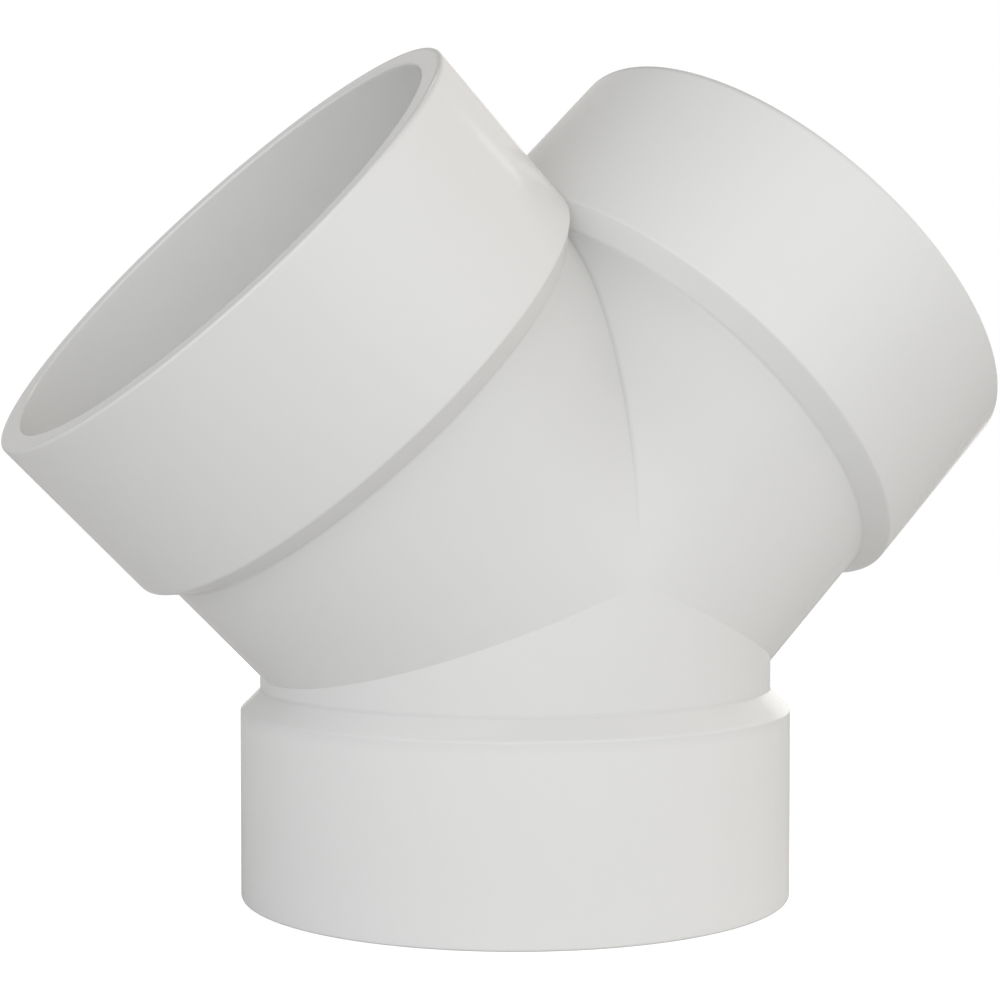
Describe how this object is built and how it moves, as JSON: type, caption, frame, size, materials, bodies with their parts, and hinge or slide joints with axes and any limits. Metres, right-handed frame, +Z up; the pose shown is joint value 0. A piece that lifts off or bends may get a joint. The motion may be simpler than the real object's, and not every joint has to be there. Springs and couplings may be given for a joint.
{
  "type": "duct y branch",
  "caption": "White moulded PVC duct Y branch: a socketed run that splits into slanted socketed branches, each hub with a sloped shoulder.",
  "frame": {"origin": "centre of the run's mouth, in the plane of its rim, which the fitting stands on", "axes": "+Z up along the run's axis, +X towards the right branch, +Y away from the viewer, across the plane of the three axes"},
  "size_m": [0.2306, 0.1254, 0.1893],
  "materials": {
    "white_pvc": "gloss"
  },
  "bodies": {
    "root": {"duct_y_branch": "white_pvc"}
  },
  "joints": []
}
